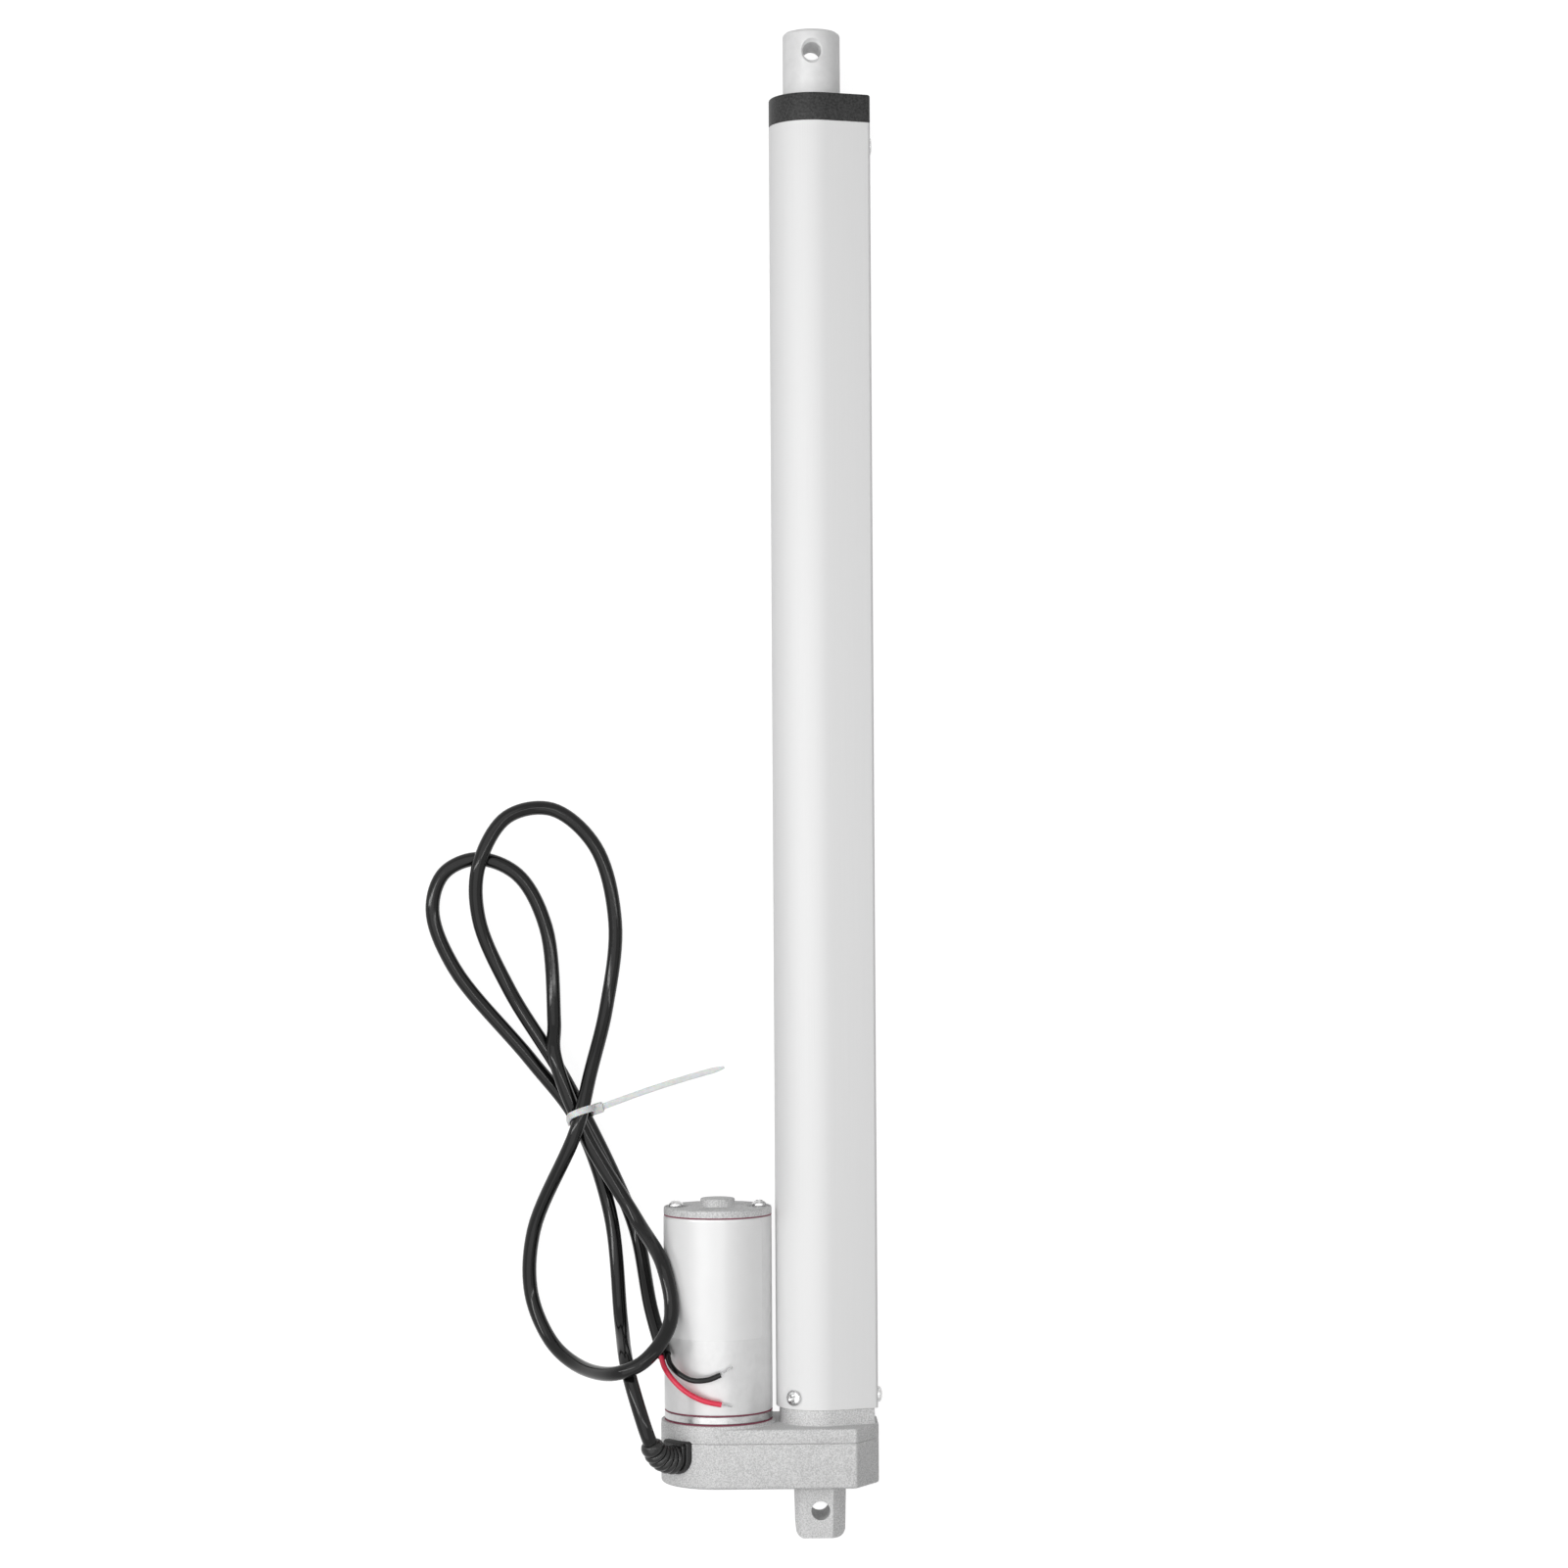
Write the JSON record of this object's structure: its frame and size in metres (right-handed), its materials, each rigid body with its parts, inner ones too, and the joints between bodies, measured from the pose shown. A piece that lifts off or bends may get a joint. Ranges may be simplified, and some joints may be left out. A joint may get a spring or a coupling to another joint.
{
  "type": "linear actuator",
  "caption": "Electric linear actuator: motor beside a long aluminium tube, geared to a lead screw that pushes a round rod, with a pin hole at each end.",
  "frame": {"origin": "centre of the pin hole in the rear lug, halfway along the hole", "axes": "+Y along the rod towards its front end, +Z along the pin holes to the side that carries the motor's label, +X away from the motor"},
  "size_m": [0.159, 0.5216, 0.0469],
  "materials": {
    "die_cast": "rough cast, light speckle",
    "anodised_tube": "satin anodised",
    "rod_alloy": "satin",
    "bright_alloy": "bright turned",
    "motor_steel": "bright nickel plated",
    "zinc_steel": "zinc plated",
    "bearing_steel": "ground",
    "spring_steel": "dark oiled",
    "core_steel": "stamped sheets",
    "ferrite": "dark sintered",
    "copper": "copper",
    "brass": "machined",
    "bronze": "sintered bronze",
    "black_plastic": "matt moulded",
    "red_plastic": "moulded",
    "nylon": "natural moulded",
    "phenolic": "phenolic board",
    "circuit_board": "lacquered",
    "carbon": "graphite",
    "label_film": "bare silver-white film",
    "tie_nylon": "translucent nylon",
    "gasket": "dark red",
    "black_rubber": "soft matt",
    "cable_jacket": "semi-gloss PVC",
    "red_insulation": "semi-gloss PVC"
  },
  "bodies": {
    "housing": {"gearbox_housing": "die_cast", "gearbox_cover": "die_cast", "gearbox_screws": "zinc_steel", "outer_tube": "anodised_tube", "tube_screws": "zinc_steel", "front_cap": "black_plastic", "cap_screw": "zinc_steel", "rod_guide_bush": "bronze", "rod_wiper": "black_rubber", "motor_base_gasket": "gasket", "motor_front_bell": "bright_alloy", "motor_can_gasket": "gasket", "motor_can": "motor_steel", "motor_cap_gasket": "gasket", "motor_end_cap": "die_cast", "motor_label": "label_film", "motor_tie_bolts": "zinc_steel", "motor_mount_screws": "zinc_steel", "motor_magnets": "ferrite", "motor_front_bushing": "bronze", "motor_rear_bushing": "bronze", "brush_holder": "phenolic", "motor_brushes": "carbon", "brush_springs": "spring_steel", "idler_axle": "bearing_steel", "lower_bearing_outer_race": "bearing_steel", "lower_bearing_balls": "bearing_steel", "upper_bearing_outer_race": "bearing_steel", "upper_bearing_balls": "bearing_steel", "bearing_circlip": "spring_steel", "switch_board": "circuit_board", "lower_limit_switch": "black_plastic", "upper_limit_switch": "black_plastic", "switch_wires": "red_insulation", "strain_relief": "black_rubber", "cable": "cable_jacket", "cable_tie": "tie_nylon", "red_lead": "red_insulation", "black_lead": "cable_jacket"},
    "rod": {"rod_tube": "rod_alloy", "rod_end": "rod_alloy", "drive_nut": "nylon", "nut_screws": "zinc_steel"},
    "screw": {"lead_screw": "bearing_steel", "screw_gear": "nylon", "gear_pin": "bearing_steel", "bearing_spacer": "bearing_steel", "lower_bearing_inner_race": "bearing_steel", "upper_bearing_inner_race": "bearing_steel", "screw_tip_guide": "nylon"},
    "idler": {"idler_wheel": "nylon", "idler_pinion": "bearing_steel"},
    "armature": {"motor_shaft": "bearing_steel", "armature_core": "core_steel", "armature_windings": "copper", "commutator": "copper", "motor_pinion": "brass"},
    "lower_plunger": {"lower_switch_plunger": "red_plastic"},
    "upper_plunger": {"upper_switch_plunger": "red_plastic"}
  },
  "joints": [
    {"name": "rod_slide", "type": "slide", "parent": "housing", "child": "rod", "axis": [0, 1, 0], "range_m": [0, 0.4]},
    {"name": "screw_spin", "type": "hinge", "parent": "housing", "child": "screw", "pos_m": [0, 0, 0], "axis": [0, -1, 0], "continuous": true},
    {"name": "idler_spin", "type": "hinge", "parent": "housing", "child": "idler", "pos_m": [-0.02, 0, 0], "axis": [0, -1, 0], "continuous": true},
    {"name": "armature_spin", "type": "hinge", "parent": "housing", "child": "armature", "pos_m": [-0.035, 0, 0], "axis": [0, -1, 0], "continuous": true},
    {"name": "lower_plunger_press", "type": "slide", "parent": "housing", "child": "lower_plunger", "axis": [0, 0, 1], "range_m": [0, 0.0006], "stiffness_N_per_m": 100, "springref_m": -0.002},
    {"name": "upper_plunger_press", "type": "slide", "parent": "housing", "child": "upper_plunger", "axis": [0, 0, 1], "range_m": [0, 0.0006], "stiffness_N_per_m": 100, "springref_m": -0.002}
  ],
  "couplings": [
    {"joint": "screw_spin", "follows": "rod_slide", "rad_per_m": 2094.4},
    {"joint": "idler_spin", "follows": "rod_slide", "rad_per_m": -6632.3},
    {"joint": "armature_spin", "follows": "rod_slide", "rad_per_m": 26529}
  ]
}
